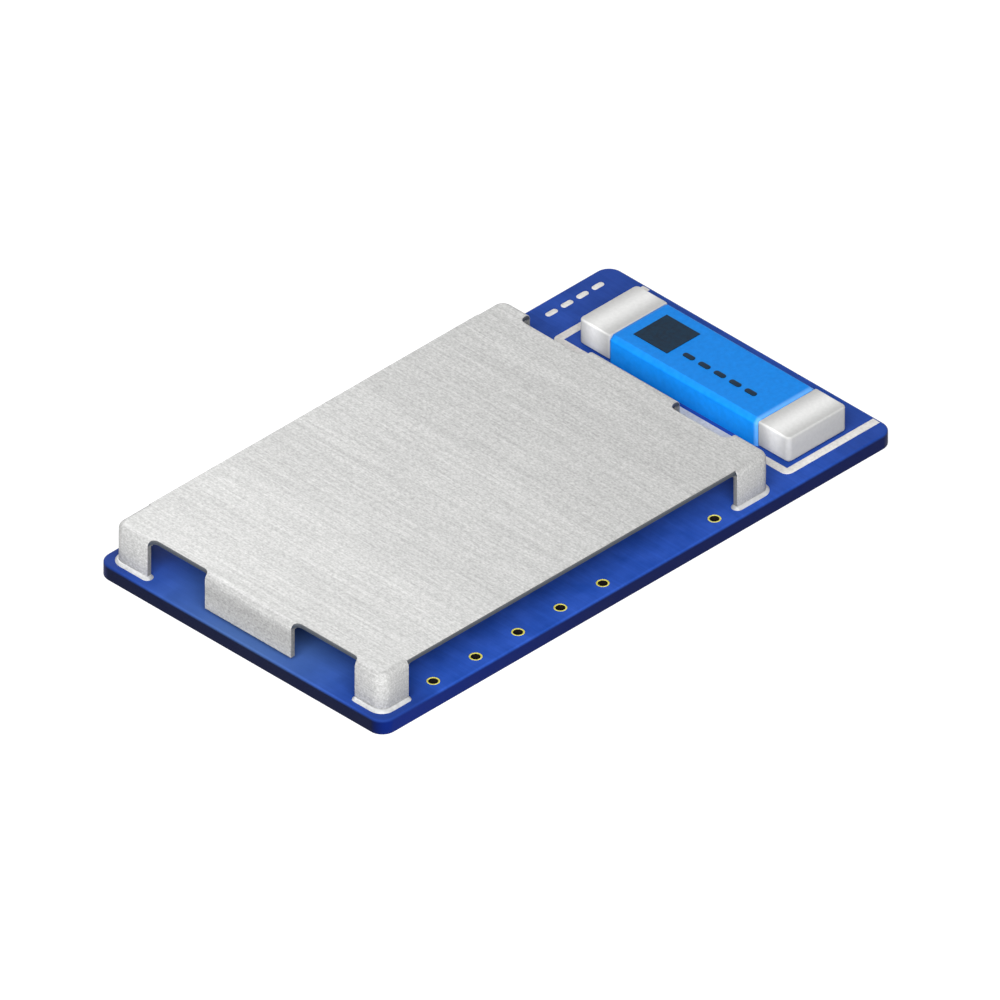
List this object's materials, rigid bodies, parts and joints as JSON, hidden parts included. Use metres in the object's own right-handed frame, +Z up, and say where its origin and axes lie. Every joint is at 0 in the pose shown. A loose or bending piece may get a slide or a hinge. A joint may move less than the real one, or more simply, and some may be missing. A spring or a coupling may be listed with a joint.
{
  "type": "surface-mount radio module",
  "caption": "Small surface-mount radio module: a blue circuit board with a metal shield can over its chips and a chip antenna on its bare end.",
  "frame": {"origin": "centre of the board's underside", "axes": "+X along the board from the can towards the antenna, +Y across the board towards the antenna's feed end, +Z up from the underside to the can"},
  "size_m": [0.0156, 0.0088, 0.0014],
  "materials": {
    "solder_mask": "blue solder mask on a glass-epoxy board",
    "gold_copper": "gold-flashed copper",
    "white_ink": "printed white ink",
    "dark_ink": "printed dark ink",
    "can_sheet": "brushed tin-plated sheet",
    "solder": "bright solder",
    "antenna_coat": "satin blue coat over ceramic",
    "cap_plating": "satin plated end cap",
    "mould": "moulded epoxy",
    "tin": "tin plating",
    "ceramic": "fired ceramic",
    "lid_metal": "gold-grey metal lid",
    "filter_ceramic": "pale glass ceramic",
    "ferrite": "sintered ferrite",
    "coil_ceramic": "blue-grey ceramic"
  },
  "bodies": {
    "root": {"circuit_board": "solder_mask", "via_barrels": "gold_copper", "side_lands": "gold_copper", "end_lands": "gold_copper", "ground_land": "gold_copper", "component_lands": "gold_copper", "antenna_lands": "gold_copper", "frame_print": "white_ink", "board_print": "white_ink", "shield_can": "can_sheet", "shield_solder": "solder", "antenna_bar": "antenna_coat", "antenna_feed_cap": "cap_plating", "antenna_plain_cap": "cap_plating", "antenna_mark": "dark_ink", "antenna_print": "dark_ink", "radio_chip": "mould", "radio_chip_leads": "tin", "memory_chip": "mould", "memory_chip_leads": "tin", "main_crystal_base": "ceramic", "main_crystal_lid": "lid_metal", "sleep_crystal_base": "ceramic", "sleep_crystal_lid": "lid_metal", "band_filter": "filter_ceramic", "band_filter_ends": "tin", "supply_coil": "ferrite", "supply_coil_ends": "tin", "capacitor_1": "ceramic", "capacitor_1_ends": "tin", "capacitor_2": "ceramic", "capacitor_2_ends": "tin", "capacitor_3": "ceramic", "capacitor_3_ends": "tin", "capacitor_4": "ceramic", "capacitor_4_ends": "tin", "capacitor_5": "ceramic", "capacitor_5_ends": "tin", "capacitor_6": "ceramic", "capacitor_6_ends": "tin", "resistor_1": "mould", "resistor_1_ends": "tin", "resistor_2": "mould", "resistor_2_ends": "tin", "match_coil_1": "coil_ceramic", "match_coil_1_ends": "tin", "match_coil_2": "coil_ceramic", "match_coil_2_ends": "tin"}
  },
  "joints": []
}
